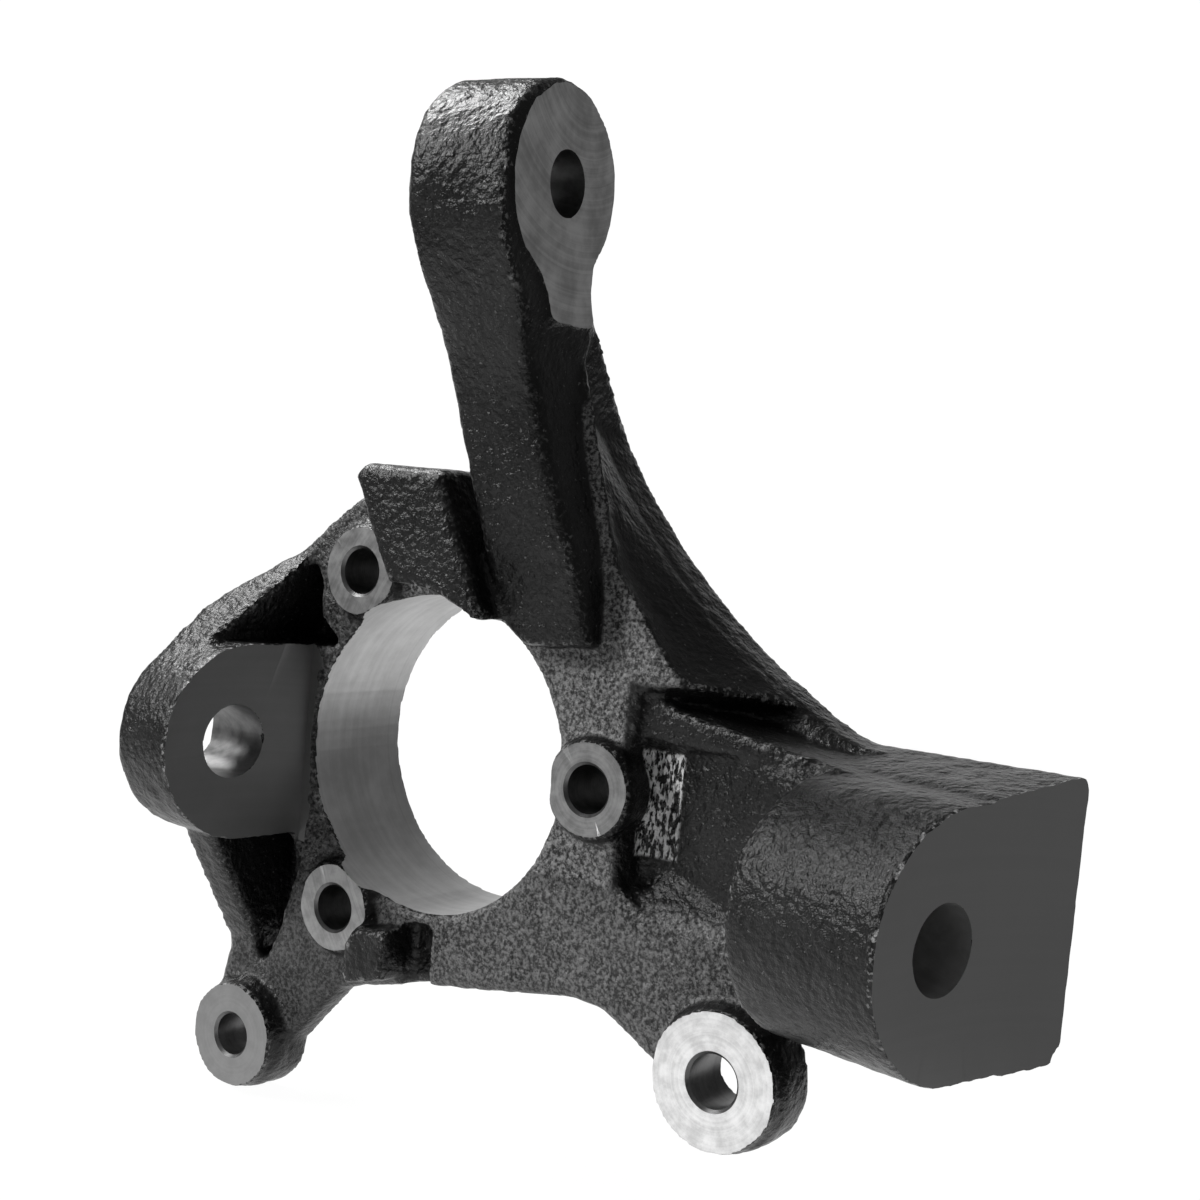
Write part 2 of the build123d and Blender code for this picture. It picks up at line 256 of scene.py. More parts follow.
@dataclass
class Casting:
    """The knuckle: a rough casting, machined on its faces and bores.

    Lengths are in millimetres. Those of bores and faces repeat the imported
    part's. A cut is given by its ends across and up the face, from the bore.
    The strip is the narrow front edge of the web, and the crown is the rise of
    the block's top towards its back. Each is a wedge between two end outlines.
    """

    hub_bore_r: float = 43.0
    hub_bolt_radius: float = 54.0
    hub_bolt_count: int = 3
    hub_bolt_hole_r: float = 6.25
    hub_bolt_face_r: float = 12.0
    back: float = 41.0
    hub_lead: float = 30.0
    front_ear: Point = (99.4, -2.7, -62.5)
    rear_ear: Point = (-59.7, -2.7, -90.3)
    front_ear_face_r: float = 18.6
    rear_ear_face_r: float = 16.3
    front_ear_hole_r: float = 6.65
    rear_ear_hole_r: float = 5.9
    ear_hole_depth: float = 20.0
    hole_chamfer: float = 0.8
    arm_bore: Point = (41.3, -12.9, 147.4)
    arm_azimuth: float = 5.0
    arm_bore_r: float = 8.1
    arm_bore_depth: float = 34.0
    arm_cut: tuple[tuple[float, float], tuple[float, float]] = ((-34, 30), (-36, 32))
    block_bore: Point = (156.5, -9.0, -17.0)
    block_azimuth: float = -12.0
    block_bore_r: float = 10.5
    block_bore_depth: float = 36.0
    block_cut: tuple[tuple[float, float], tuple[float, float]] = ((-34, 60), (-40, 44))
    lug_bore: Point = (-48.5, -21.3, -2.2)
    lug_azimuth: float = -6.0
    lug_bore_r: float = 10.1
    lug_bore_depth: float = 28.0
    lug_cut: tuple[tuple[float, float], tuple[float, float]] = ((-34, 25.5), (-29.5, 28))
    lug_cut_height: float = 12.0
    block_corner: float = 4.0
    block_corner_from: float = 112.0
    plate_front: float = 4.0
    strip_end: float = 12.0
    strip_front: tuple[tuple[float, float], ...] = (
        (39.5, 104.5), (43.2, 94), (46, 84), (48.9, 74), (51.4, 64), (54.4, 55), (59.5, 49.5),
        (67, 39.5), (75.5, 30), (70, 27), (45, 40), (38, 60), (34, 80), (32, 101),
    )
    strip_back: tuple[tuple[float, float], ...] = (
        (31, 104.5), (34.8, 94), (38.4, 84), (42.6, 74), (47.2, 64), (52.5, 55), (57, 49.5),
        (66.5, 39.5), (76, 30), (70, 27), (45, 40), (36, 60), (30, 80), (26, 101),
    )
    crown_near: tuple[Point, ...] = (
        (113, 19, 12), (113, 40.9, 12), (113, 40.9, 17), (113, 39, 18.2), (113, 19, 14.9),
    )
    crown_far: tuple[Point, ...] = (
        (161, 5, 12), (169, 40.9, 12), (169, 40.9, 16.6), (168.6, 38.6, 18.6), (161, 5, 15.1),
    )
    stock: float = 0.8
    grain: float = 1.25
    smoothing: float = 0.5
    skin: float = 0.3
    sand_size: float = 4.5
    sand_height: float = 0.7
    merge: float = 0.03
    sliver_faces: int = 100
    smooth_angle: float = 35.0

    def hub_bolts(self) -> list[Point]:
        """Work out where the hub bolts stand.

        Returns:
            Centres of the hub bolt faces.
        """
        radius = self.hub_bolt_radius
        turns = [i * 2 * math.pi / self.hub_bolt_count for i in range(self.hub_bolt_count)]
        return [(radius * math.cos(turn), 0.0, radius * math.sin(turn)) for turn in turns]

    def stocks(self) -> list[Stock]:
        """List the planes that are machined.

        Returns:
            The planes.
        """
        return [
            Stock((0.0, 0.0, 0.0), TOWARDS_WHEEL),
            Stock(self.front_ear, TOWARDS_WHEEL),
            Stock(self.arm_bore, cross_axis(self.arm_azimuth)),
            Stock(self.block_bore, cross_axis(self.block_azimuth)),
            Stock(self.lug_bore, cross_axis(self.lug_azimuth)),
        ]

    def face_cuts(self) -> list[Turned | Milled]:
        """List the cutters of the machined faces.

        Returns:
            The cutters.
        """
        bolt_faces = [
            faced(centre, self.hub_bolt_face_r, Surface.BOLT_FACE) for centre in self.hub_bolts()
        ]
        return [
            *bolt_faces,
            faced(self.front_ear, self.front_ear_face_r, Surface.EAR_FACE),
            faced(self.rear_ear, self.rear_ear_face_r, Surface.REAR_EAR_FACE),
            Milled(self.arm_bore, self.arm_azimuth, *self.arm_cut, Surface.ARM_FACE),
            Milled(self.block_bore, self.block_azimuth, *self.block_cut, Surface.BLOCK_FACE),
            Milled(
                self.lug_bore, self.lug_azimuth, *self.lug_cut, Surface.LUG_FACE,
                self.lug_cut_height,
            ),
        ]

    def bore_cuts(self) -> list[Turned]:
        """List the cutters of the bores and holes.

        Returns:
            The cutters.
        """
        chamfer, through = self.hole_chamfer, self.back + 2
        arm, block, lug = map(cross_axis, (self.arm_azimuth, self.block_azimuth, self.lug_azimuth))
        hub = drilled(
            (0.0, 0.0, 0.0), TOWARDS_WHEEL, self.hub_bore_r, through,
            surface=Surface.HUB_WALL, lead=self.hub_lead,
        )
        holes = [
            drilled(centre, TOWARDS_WHEEL, self.hub_bolt_hole_r, through, chamfer)
            for centre in self.hub_bolts()
        ]
        ears = [
            drilled(centre, TOWARDS_WHEEL, radius, self.ear_hole_depth, chamfer)
            for centre, radius in (
                (self.front_ear, self.front_ear_hole_r), (self.rear_ear, self.rear_ear_hole_r),
            )
        ]
        return [
            hub,
            *holes,
            *ears,
            drilled(self.arm_bore, arm, self.arm_bore_r, self.arm_bore_depth),
            drilled(
                self.block_bore, block, self.block_bore_r, self.block_bore_depth,
                surface=Surface.HUB_WALL,
            ),
            drilled(self.lug_bore, lug, self.lug_bore_r, self.lug_bore_depth),
        ]

    def pattern(self) -> bpy.types.Object:
        """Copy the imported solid, with stock on the faces that are machined.

        Returns:
            The copy.
        """
        piece = frame["nodes"][NODE].copy()
        piece.data = piece.data.copy()
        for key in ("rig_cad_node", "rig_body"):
            del piece[key]
        piece.parent = None
        piece.name = "knuckle_casting"
        bpy.context.collection.objects.link(piece)
        select_only(piece)
        bpy.ops.object.mode_set(mode="EDIT")
        bpy.ops.mesh.select_all(action="SELECT")
        bpy.ops.mesh.remove_doubles(threshold=PACKED_MERGE * MM)
        self.round_block(piece)
        for stock in self.stocks():
            self.add_stock(piece, stock)
        bpy.ops.object.mode_set(mode="OBJECT")
        ends = ((self.strip_front, self.plate_front), (self.strip_back, self.strip_end))
        strip = [[(x, level, z) for x, z in outline] for outline, level in ends]
        self.lay_on(piece, "web_strip", strip)
        self.lay_on(piece, "block_crown", [list(self.crown_near), list(self.crown_far)])
        return piece

    def add_stock(self, piece: bpy.types.Object, stock: Stock) -> None:
        """Extrude the faces that lie in a machined plane.

        Args:
            piece: The copy, in edit mode.
            stock: The plane.
        """
        bpy.ops.mesh.select_mode(type="FACE")
        bpy.ops.mesh.select_all(action="DESELECT")
        mesh = bmesh.from_edit_mesh(piece.data)
        axis, origin = Vector(stock.axis), Vector(stock.point) * MM
        for face in mesh.faces:
            apart = abs((face.calc_center_median() - origin).dot(axis))
            face.select_set(face.normal.dot(axis) > 0.999 and apart < 0.02 * MM)
        bmesh.update_edit_mesh(piece.data)
        bpy.ops.mesh.extrude_region_move(TRANSFORM_OT_translate={"value": axis * self.stock * MM})

    def round_block(self, piece: bpy.types.Object) -> None:
        """Round the long lower edge at the back of the lower block.

        Args:
            piece: The copy, in edit mode.
        """
        bpy.ops.mesh.select_mode(type="EDGE")
        bpy.ops.mesh.select_all(action="DESELECT")
        mesh = bmesh.from_edit_mesh(piece.data)
        for edge in mesh.edges:
            start, end = (vertex.co / MM for vertex in edge.verts)
            in_back = all(abs(point.y - self.back) < 0.05 for point in (start, end))
            is_long = abs(start.x - end.x) > 3 and abs(start.z - end.z) < 1.5
            is_rim = len(edge.link_faces) == 2 and edge.calc_face_angle() > 1.0
            is_low = max(start.z, end.z) < 0 and min(start.x, end.x) > self.block_corner_from
            edge.select_set(in_back and is_long and is_rim and is_low)
        bmesh.update_edit_mesh(piece.data)
        bpy.ops.mesh.bevel(offset=self.block_corner * MM, segments=4)

    def lay_on(self, piece: bpy.types.Object, name: str, rings: list[list[Point]]) -> None:
        """Lay a closed wedge on the copy.

        The two become one skin when the casting is remeshed.

        Args:
            piece: The copy.
            name: The wedge's name.
            rings: Its two end outlines, point for point.
        """
        points = [tuple(v * MM for v in point) for ring in rings for point in ring]
        count = len(rings[0])
        sides = [(i, (i + 1) % count, (i + 1) % count + count, i + count) for i in range(count)]
        ends = [tuple(range(count)), tuple(range(count, 2 * count))]
        mesh = bpy.data.meshes.new(name)
        mesh.from_pydata(points, [], [*ends, *sides])
        wedge = bpy.data.objects.new(name, mesh)
        bpy.context.collection.objects.link(wedge)
        select_only(wedge)
        bpy.ops.object.mode_set(mode="EDIT")
        bpy.ops.mesh.select_all(action="SELECT")
        bpy.ops.mesh.normals_make_consistent(inside=False)
        bpy.ops.object.mode_set(mode="OBJECT")
        piece.select_set(True)
        bpy.context.view_layer.objects.active = piece
        bpy.ops.object.join()

    def cast(self, piece: bpy.types.Object) -> None:
        """Round every edge and roughen the skin, as sand casting does.

        Args:
            piece: The copy with its stock.
        """
        apply_modifier(
            piece, "REMESH", mode="VOXEL", voxel_size=self.grain * MM, use_smooth_shade=True
        )
        apply_modifier(piece, "SMOOTH", factor=self.smoothing, iterations=3)
        apply_modifier(piece, "DISPLACE", strength=self.skin * MM, mid_level=0.0)
        sand = bpy.data.textures.new("sand", "CLOUDS")
        sand.noise_scale = self.sand_size * MM
        sand.noise_depth = 2
        apply_modifier(
            piece, "DISPLACE", texture=sand, texture_coords="LOCAL",
            strength=self.sand_height * MM, mid_level=0.5,
        )

    def machine(self, piece: bpy.types.Object, cuts: list[Turned | Milled]) -> None:
        """Cut one set of faces or bores out of the casting.

        Args:
            piece: The casting.
            cuts: Cutters, none of which touches another.
        """
        slots = list(piece.data.materials)
        cutters = []
        for cut in cuts:
            cutter = cut.model()
            cutter.data.materials.clear()
            for material in slots:
                cutter.data.materials.append(material)
            for polygon in cutter.data.polygons:
                polygon.material_index = cut.surface.value
            cutters.append(cutter)
        bpy.ops.object.select_all(action="DESELECT")
        for cutter in cutters:
            cutter.select_set(True)
        bpy.context.view_layer.objects.active = cutters[0]
        bpy.ops.object.join()
        tool = bpy.context.active_object
        apply_modifier(
            piece, "BOOLEAN", operation="DIFFERENCE", solver="EXACT", object=tool,
            material_mode="INDEX",
        )
        bpy.data.objects.remove(tool)

    def drop_slivers(self, mesh: bmesh.types.BMesh) -> int:
        """Delete the slivers left where a cutter only grazes the skin.

        Wide faces are split before near points are merged, because a face with
        a hole in it closes when its seam is merged.

        Args:
            mesh: The machined casting.

        Returns:
            How many faces were deleted.
        """
        bmesh.ops.triangulate(mesh, faces=[face for face in mesh.faces if len(face.verts) > 4])
        bmesh.ops.remove_doubles(mesh, verts=mesh.verts, dist=self.merge * MM)
        seen: set[bmesh.types.BMFace] = set()
        slivers: list[bmesh.types.BMFace] = []
        for seed in mesh.faces:
            if seed in seen:
                continue
            seen.add(seed)
            island, waiting = [], [seed]
            while waiting:
                face = waiting.pop()
                island.append(face)
                joined = (edge.link_faces for edge in face.edges if len(edge.link_faces) == 2)
                for other in (face for pair in joined for face in pair if face not in seen):
                    seen.add(other)
                    waiting.append(other)
            if len(island) < self.sliver_faces:
                slivers += island
        bmesh.ops.delete(mesh, geom=slivers, context="FACES")
        return len(slivers)

    def finish_edges(self, piece: bpy.types.Object) -> None:
        """Keep the machined edges sharp and the rest smooth.

        Args:
            piece: The machined casting.
        """
        select_only(piece)
        bpy.ops.object.shade_smooth_by_angle(angle=math.radians(self.smooth_angle))
        mesh = bmesh.new()
        mesh.from_mesh(piece.data)
        LOG.info("slivers deleted: %d faces", self.drop_slivers(mesh))
        for edge in mesh.edges:
            slots = {face.material_index for face in edge.link_faces}
            if len(slots) > 1:
                edge.smooth = False
        mesh.to_mesh(piece.data)
        mesh.free()

    def build(self, finishes: dict[Surface, bpy.types.Material]) -> bpy.types.Object:
        """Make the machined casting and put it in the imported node's place.

        Args:
            finishes: Material of each surface.

        Returns:
            The piece.
        """
        piece = self.pattern()
        self.cast(piece)
        piece.data.materials.clear()
        for surface in Surface:
            piece.data.materials.append(finishes[surface])
        self.machine(piece, self.face_cuts())
        self.machine(piece, self.bore_cuts())
        self.finish_edges(piece)
        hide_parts(NODE)
        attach(piece, "root")
        return piece


class Shade:
    """Builder of one node tree, of a material or of a group."""

    def __init__(self, tree: bpy.types.NodeTree) -> None:
        """Keep the tree that nodes are added to.

        Args:
            tree: The tree.
        """
        self.tree = tree

    def feed(self, node: bpy.types.Node, key: str | int, value: object) -> None:
        """Link a source to an input, or set the input's value.

        Args:
            node: The node.
            key: Name or number of its input.
            value: Source socket or value.
        """
        if isinstance(value, bpy.types.NodeSocket):
            self.tree.links.new(value, node.inputs[key])
        else:
            node.inputs[key].default_value = value

    def add(
        self, kind: str, inputs: dict[str | int, object] | None = None, **fields: object
    ) -> bpy.types.Node:
        """Add a node.

        Args:
            kind: Node type, without its ShaderNode prefix.
            inputs: Value or source socket of each input that is set.
            **fields: Values of the node's fields.

        Returns:
            The new node.
        """
        node = self.tree.nodes.new("ShaderNode" + kind)
        for key, value in fields.items():
            setattr(node, key, value)
        for key, value in (inputs or {}).items():
            self.feed(node, key, value)
        return node

    def math(self, operation: str, first: object, second: object = 0.0) -> Socket:
        """Add a Math node.

        Args:
            operation: Blender's name of the operation.
            first: First value or source.
            second: Second value or source.

        Returns:
            Its result.
        """
        return self.add("Math", {0: first, 1: second}, operation=operation).outputs[0]

    def line(self, value: object, slope: float, offset: object) -> Socket:
        """Multiply a value and add another.

        Args:
            value: The value's source.
            slope: What it is multiplied by.
            offset: Value or source that is added.

        Returns:
            The sum.
        """
        inputs = {0: value, 1: slope, 2: offset}
        return self.add("Math", inputs, operation="MULTIPLY_ADD").outputs[0]

    def ramp(self, value: Socket, low: float, high: float) -> Socket:
        """Stretch a value smoothly so that low becomes 0 and high becomes 1.

        Args:
            value: The value's source.
            low: Value that becomes 0.
            high: Value that becomes 1.

        Returns:
            The stretched value.
        """
        inputs = {"Value": value, "From Min": low, "From Max": high}
        node = self.add("MapRange", inputs, clamp=True, interpolation_type="SMOOTHSTEP")
        return node.outputs["Result"]

    def tone(self, factor: object, dark: float, light: float) -> Socket:
        """Blend two greys.

        Args:
            factor: Value or source, 0 for dark and 1 for light.
            dark: The dark grey.
            light: The light grey.

        Returns:
            The colour.
        """
        return self.blend(factor, (dark, dark, dark, 1), (light, light, light, 1))

    def blend(self, factor: object, first: object, second: object) -> Socket:
        """Mix two colours.

        Args:
            factor: Value or source, 0 for the first and 1 for the second.
            first: Colour or source.
            second: Colour or source.

        Returns:
            The mixed colour.
        """
        node = self.add("Mix", data_type="RGBA")
        for key, value in zip(MIX_COLOR_INPUTS, (factor, first, second)):
            self.feed(node, key, value)
        return node.outputs[MIX_COLOR_RESULT]

    def noise(
        self, vector: Socket, size_mm: float, detail: float = 2.0, roughness: float = 0.5
    ) -> Socket:
        """Add noise.

        Args:
            vector: Source of the coordinates.
            size_mm: About how wide its blobs are.
            detail: Number of finer octaves.
            roughness: Share of each finer octave.

        Returns:
            The noise's value.
        """
        inputs = {"Scale": 1.0 / (size_mm * MM), "Detail": detail, "Roughness": roughness}
        return self.add("TexNoise", {"Vector": vector, **inputs}).outputs["Fac"]

    def place(self, group: bpy.types.NodeTree, inputs: dict[str, object]) -> bpy.types.Node:
        """Place a node group.

        Args:
            group: The group.
            inputs: Value or source of each input.

        Returns:
            The group's node.
        """
        node = self.add("Group", node_tree=group)
        for key, value in inputs.items():
            self.feed(node, key, value)
        return node


def new_group(
    name: str, inputs: dict[str, tuple[str, object]], outputs: tuple[str, ...]
) -> bpy.types.NodeTree:
    """Make an empty node group with its sockets.

    Args:
        name: The group's name.
        inputs: Socket type and first value of each input.
        outputs: Names of the value outputs.

    Returns:
        The group.
    """
    group = bpy.data.node_groups.new(name, "ShaderNodeTree")
    for label, (kind, value) in inputs.items():
        socket = group.interface.new_socket(label, in_out="INPUT", socket_type="NodeSocket" + kind)
        if value is not None:
            socket.default_value = value
    for label in outputs:
        group.interface.new_socket(label, in_out="OUTPUT", socket_type="NodeSocketFloat")
    return group


class Effects:
    """Node groups that the finishes place, some of them more than once."""

    def __init__(self) -> None:
        """Build each group once."""
        self.sand_grain = self.build_sand_grain()
        self.zone = self.build_zone()
        self.tool_lines = self.build_tool_lines()

    def build_sand_grain(self) -> bpy.types.NodeTree:
        """Build the pebbled height of a sand cast skin.

        Returns:
            The group.
        """
        inputs = {"Vector": ("Vector", None), "Size": ("Float", 2.0)}
        group = new_group("sand grain", inputs, ("Height", "Mottle"))
        shade = Shade(group)
        entry = group.nodes.new("NodeGroupInput")
        per_pebble = shade.math("DIVIDE", 1 / MM, entry.outputs["Size"])
        scaled = {0: entry.outputs["Vector"], "Scale": per_pebble}
        vector = shade.add("VectorMath", scaled, operation="SCALE").outputs["Vector"]
        cells = {"Vector": vector, "Scale": 1.0, "Smoothness": 0.6}
        pebbles = shade.add("TexVoronoi", cells, feature="SMOOTH_F1")
        ripple = {"Vector": vector, "Scale": 1.0, "Detail": 3.0, "Roughness": 0.6}
        waves = shade.add("TexNoise", ripple)
        round_top = shade.math("SUBTRACT", 0.8, pebbles.outputs["Distance"])
        height = shade.line(waves.outputs["Fac"], 1.1, round_top)
        mottle = shade.add("TexNoise", {"Vector": vector, "Scale": 0.12, "Detail": 3.0})
        leave = group.nodes.new("NodeGroupOutput")
        group.links.new(height, leave.inputs["Height"])
        group.links.new(mottle.outputs["Fac"], leave.inputs["Mottle"])
        return group

    def build_zone(self) -> bpy.types.NodeTree:
        """Build a mask that is 1 inside a box of the part and fades out round it.

        Returns:
            The group.
        """
        inputs = {
            "Vector": ("Vector", None), "Centre": ("Vector", (0, 0, 0)),
            "Half size": ("Vector", (1, 1, 1)), "Fade": ("Float", 1.0),
        }
        group = new_group("zone", inputs, ("Mask",))
        shade = Shade(group)
        entry = group.nodes.new("NodeGroupInput")
        pair = {0: entry.outputs["Vector"], 1: entry.outputs["Centre"]}
        offset = shade.add("VectorMath", pair, operation="SUBTRACT")
        size = shade.add("VectorMath", {0: offset.outputs["Vector"]}, operation="ABSOLUTE")
        pair = {0: size.outputs["Vector"], 1: entry.outputs["Half size"]}
        beyond = shade.add("VectorMath", pair, operation="SUBTRACT")
        parts = shade.add("SeparateXYZ", {"Vector": beyond.outputs["Vector"]}).outputs
        widest = shade.math("MAXIMUM", shade.math("MAXIMUM", parts["X"], parts["Y"]), parts["Z"])
        share = shade.math("DIVIDE", widest, entry.outputs["Fade"])
        leave = group.nodes.new("NodeGroupOutput")
        group.links.new(shade.ramp(share, 0.5, -0.5), leave.inputs["Mask"])
        return group

    def build_tool_lines(self) -> bpy.types.NodeTree:
        """Build the height of the arcs that a cutter leaves, round the vector's origin.

        Returns:
            The group.
        """
        inputs = {"Vector": ("Vector", None), "Spacing": ("Float", 1.0)}
        group = new_group("tool lines", inputs, ("Height", "Sheen"))
        shade = Shade(group)
        entry = group.nodes.new("NodeGroupInput")
        length = shade.add("VectorMath", {0: entry.outputs["Vector"]}, operation="LENGTH")
        length_mm = shade.math("MULTIPLY", length.outputs["Value"], 1 / MM)
        turns = shade.math("DIVIDE", length_mm, entry.outputs["Spacing"])
        wander = {"W": turns, "Scale": 0.6, "Detail": 4.0, "Roughness": 0.7}
        uneven = shade.add("TexNoise", wander, noise_dimensions="1D")
        ridges = shade.math("SINE", shade.math("MULTIPLY", turns, 2 * math.pi))
        height = shade.line(ridges, 0.25, uneven.outputs["Fac"])
        leave = group.nodes.new("NodeGroupOutput")
        group.links.new(height, leave.inputs["Height"])
        group.links.new(uneven.outputs["Fac"], leave.inputs["Sheen"])
        return group


@dataclass(frozen=True)
class Zone:
    """A box of the part, in millimetres, with the share of an effect that it gets."""

    centre: Point
    half: Point
    share: float = 1.0
    fade: float = 3.0


@dataclass(frozen=True)
class CastSkin:
    """Black coated cast skin, smooth on the arms and coarse on the plate, with painted highlights
    in its colour.

    Each pair of numbers named _range is stretched to 0 and 1.
    """

    effects: Effects
    dark: float = 0.005
    light: float = 0.013
    # The coarse tones are for the plate; the light end is a painted highlight, glints of light on
    # its coarse skin.
    coarse_dark: float = 0.015
    coarse_glint_light: float = 0.30
    # Grey of chipped paint on the edges, real wear, and of the painted glint dots.
    chip_and_glint: float = 0.30
    roughness: float = 0.34
    gloss: float = 0.32
    pebble_mm: float = 1.9
    bump_mm: float = 0.32
    # Zones of the plate's coarse skin and its painted highlights; a share below 1 weakens both.
    plate: Zone = Zone((30.0, 4.0, 42.5), (48.0, 2.5, 67.5))
    plate_below: Zone = Zone((50.0, 4.0, -66.0), (67.0, 2.5, 41.0), 0.72)
    plate_rear: Zone = Zone((-50.0, 4.0, 0.0), (32.0, 2.0, 105.0), 0.35)
    # The recess is left out of the painted highlights, and only faces towards the wheel get them.
    recess_side_range: tuple[float, float] = (0.0625, 0.0605)
    recess_top_range: tuple[float, float] = (0.027, 0.029)
    glint_facing_range: tuple[float, float] = (0.5, 0.85)
    # The ridged patch in the recess: its ridges are real, and its near-white tone is a painted
    # highlight of their glints.
    patch: Zone = Zone((69.0, 12.0, -2.2), (6.3, 3.0, 13.5), fade=1.0)
    patch_dark: float = 0.005
    patch_glint_light: float = 0.9
    patch_stretch: Point = (1.0, 1.0, 0.4)
    patch_ridge_mm: float = 0.95
    patch_range: tuple[float, float] = (0.43, 0.56)
    mottle_range: tuple[float, float] = (0.35, 0.65)
    # Painted highlight: where the speckle lightens the plate's coarse tone.
    glint_speckle_range: tuple[float, float] = (0.36, 0.68)
    blotch_range: tuple[float, float] = (0.4, 0.7)
    # Painted highlight: scattered glint dots over the whole skin.
    painted_glint_range: tuple[float, float] = (0.70, 0.76)
    edge_range: tuple[float, float] = (0.515, 0.56)
    flake_range: tuple[float, float] = (0.50, 0.62)

    def mask(self, shade: Shade, place: Socket, zone: Zone) -> Socket:
        """Mask one zone.

        Args:
            shade: The material's tree.
            place: Object coordinates.
            zone: The zone.

        Returns:
            The mask, up to 1 whatever the zone's share.
        """
        inputs = {
            "Vector": place, "Centre": tuple(v * MM for v in zone.centre),
            "Half size": tuple(v * MM for v in zone.half), "Fade": zone.fade * MM,
        }
        return shade.place(self.effects.zone, inputs).outputs["Mask"]

    def plate_grain_and_glint_mask(self, shade: Shade, place: Socket) -> Socket:
        """Mask the plate's front, which has a coarser skin and painted highlights that lighten its
        faces towards the wheel.

        Args:
            shade: The material's tree.
            place: Object coordinates.

        Returns:
            The mask.
        """
        pair = {0: shade.add("NewGeometry").outputs["Normal"], 1: TOWARDS_WHEEL}
        facing = shade.add("VectorMath", pair, operation="DOT_PRODUCT").outputs["Value"]
        parts = shade.add("SeparateXYZ", {"Vector": place}).outputs
        # The recess is left out of the painted highlights.
        beside_recess = shade.ramp(parts["X"], *self.recess_side_range)
        above_recess = shade.ramp(parts["Z"], *self.recess_top_range)
        clear = shade.math("MAXIMUM", beside_recess, above_recess)
        glint_share = shade.math("MULTIPLY", self.mask(shade, place, self.plate), clear)
        for zone in (self.plate_below, self.plate_rear):
            part = shade.math("MULTIPLY", self.mask(shade, place, zone), zone.share)
            glint_share = shade.math("MAXIMUM", glint_share, part)
        # Painted highlight: only faces turned towards the wheel, the lit side, get the lighter
        # coarse tone.
        return shade.math("MULTIPLY", glint_share, shade.ramp(facing, *self.glint_facing_range))

    def material(self) -> bpy.types.Material:
        """Build the finish.

        Returns:
            The material.
        """
        material = bpy.data.materials.new("cast_skin")
        material.use_nodes = True
        shade = Shade(material.node_tree)
        shader = material.node_tree.nodes["Principled BSDF"]
        place = shade.add("TexCoord").outputs["Object"]
        grain = shade.place(self.effects.sand_grain, {"Vector": place, "Size": self.pebble_mm})
        speckle = shade.noise(place, 1.0, 2.0, 0.7)
        plate = self.plate_grain_and_glint_mask(shade, place)
        patch = self.mask(shade, place, self.patch)
        stretched = shade.add("Mapping", {"Vector": place, "Scale": self.patch_stretch})
        ridges = shade.noise(stretched.outputs["Vector"], self.patch_ridge_mm, 2.0, 0.6)
        ridges = shade.ramp(ridges, *self.patch_range)

        mottle = shade.ramp(grain.outputs["Mottle"], *self.mottle_range)
        smooth_tone = shade.tone(mottle, self.dark, self.light)
        blotches = shade.ramp(shade.noise(place, 9.0, 3.0), *self.blotch_range)
        # Painted highlights: the speckle lightens the plate's coarse tone where glints would be;
        # the blotches are random tone.
        grit_and_glints = shade.line(blotches, 0.12, shade.ramp(speckle, *self.glint_speckle_range))
        coarse_glint_tone = shade.tone(grit_and_glints, self.coarse_dark, self.coarse_glint_light)
        color = shade.blend(plate, smooth_tone, coarse_glint_tone)
        # Painted highlight: the patch's ridges are drawn nearly white where they would glint.
        color = shade.blend(patch, color, shade.tone(ridges, self.patch_dark, self.patch_glint_light))
        # Painted highlight: scattered glint dots, drawn in the same grey as the chipped paint on
        # the edges, which is real wear.
        painted_glints = shade.ramp(shade.noise(place, 0.9, 1.0), *self.painted_glint_range)
        edge = shade.ramp(shade.add("NewGeometry").outputs["Pointiness"], *self.edge_range)
        flake = shade.ramp(shade.noise(place, 1.2, 3.0, 0.6), *self.flake_range)
        flake = shade.math("MULTIPLY", edge, flake)
        chips_and_glints = shade.math("MAXIMUM", shade.math("MULTIPLY", painted_glints, 0.4), flake)
        color = shade.blend(chips_and_glints, color, (self.chip_and_glint, self.chip_and_glint, self.chip_and_glint, 1))

        strength = shade.line(plate, 0.5, 1.0)
        height = shade.math("MULTIPLY", grain.outputs["Height"], strength)
        height = shade.line(speckle, 0.9, height)
        height = shade.line(shade.math("MULTIPLY", ridges, patch), 2.5, height)
        bump = shade.add("Bump", {"Height": height, "Strength": 1.0, "Distance": self.bump_mm * MM})
        shade.feed(shader, "Base Color", color)
        shade.feed(shader, "Roughness", shade.line(speckle, 0.15, self.roughness - 0.08))
        shade.feed(shader, "Normal", bump.outputs["Normal"])
        shade.feed(shader, "Specular IOR Level", self.gloss)
        return material


